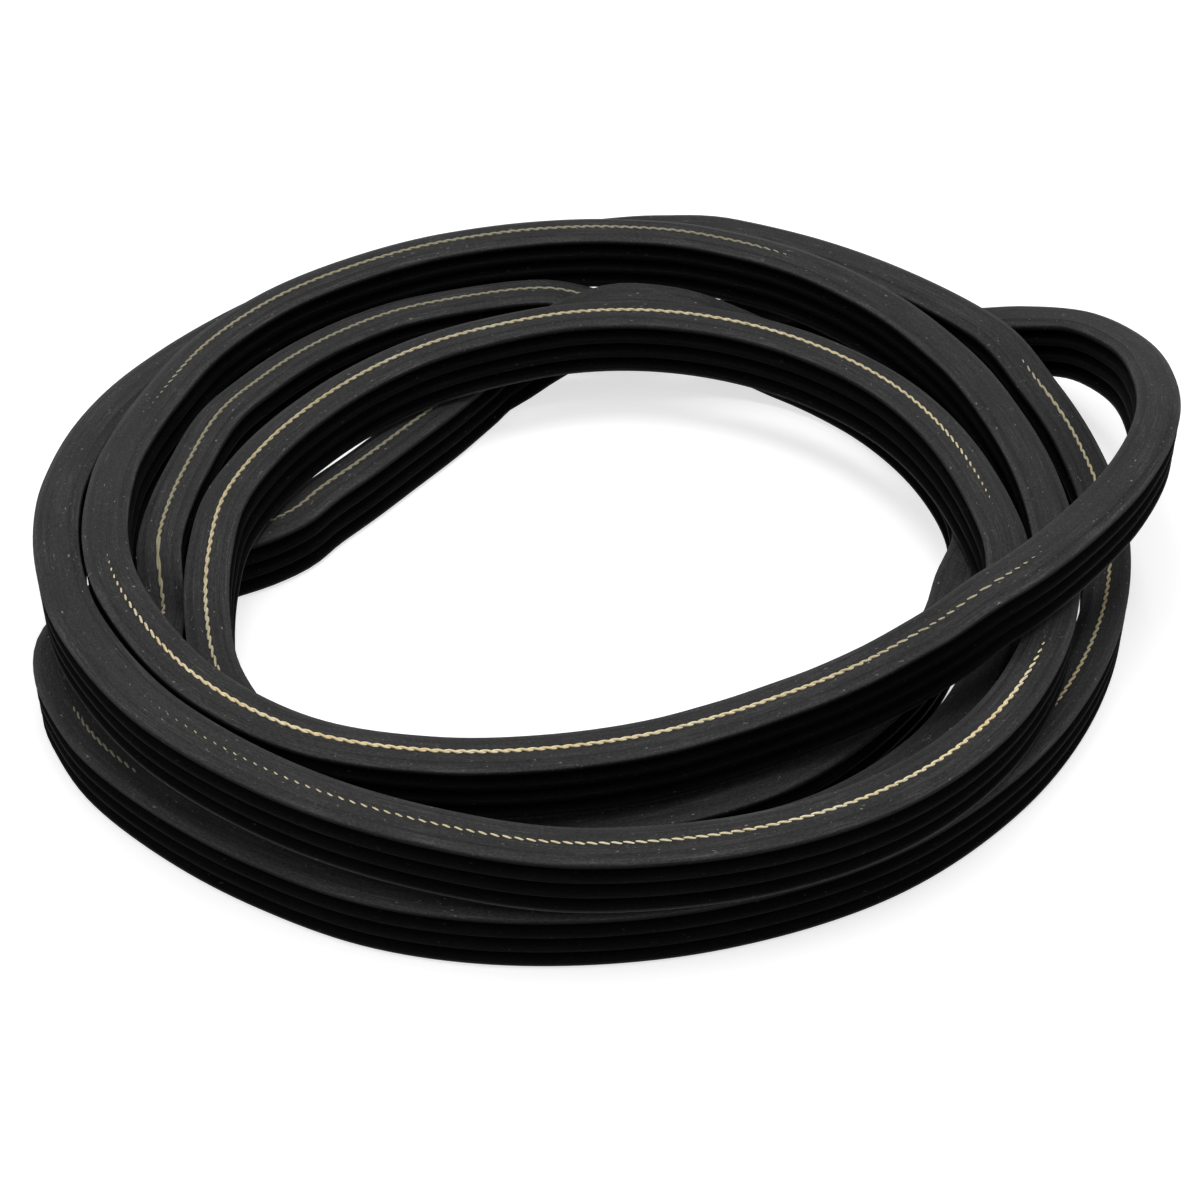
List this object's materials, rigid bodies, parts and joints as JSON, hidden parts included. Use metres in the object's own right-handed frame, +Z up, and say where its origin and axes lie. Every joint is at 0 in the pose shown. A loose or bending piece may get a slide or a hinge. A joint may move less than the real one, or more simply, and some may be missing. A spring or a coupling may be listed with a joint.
{
  "type": "serpentine belt",
  "caption": "Endless double-sided ribbed rubber drive belt, put away as a loose coil that stands on its cut edge, with one turn swung out as a wider loop.",
  "frame": {"origin": "middle of the coil's footprint, on the surface that it lies on", "axes": "+Z up, square to the surface; +X towards the turn that swings out as a wider loop; -Y towards the side that it is usually seen from"},
  "size_m": [0.2136, 0.191, 0.0408],
  "materials": {
    "belt_rubber": "matte charcoal moulded rubber, cut edges paler and chalky with fine streaks, grooves dark",
    "tensile_cord": "cream twisted yarn, showing as a thin line along the middle of the cut edges"
  },
  "bodies": {
    "root": {"serpentine_belt": "belt_rubber"}
  },
  "joints": []
}
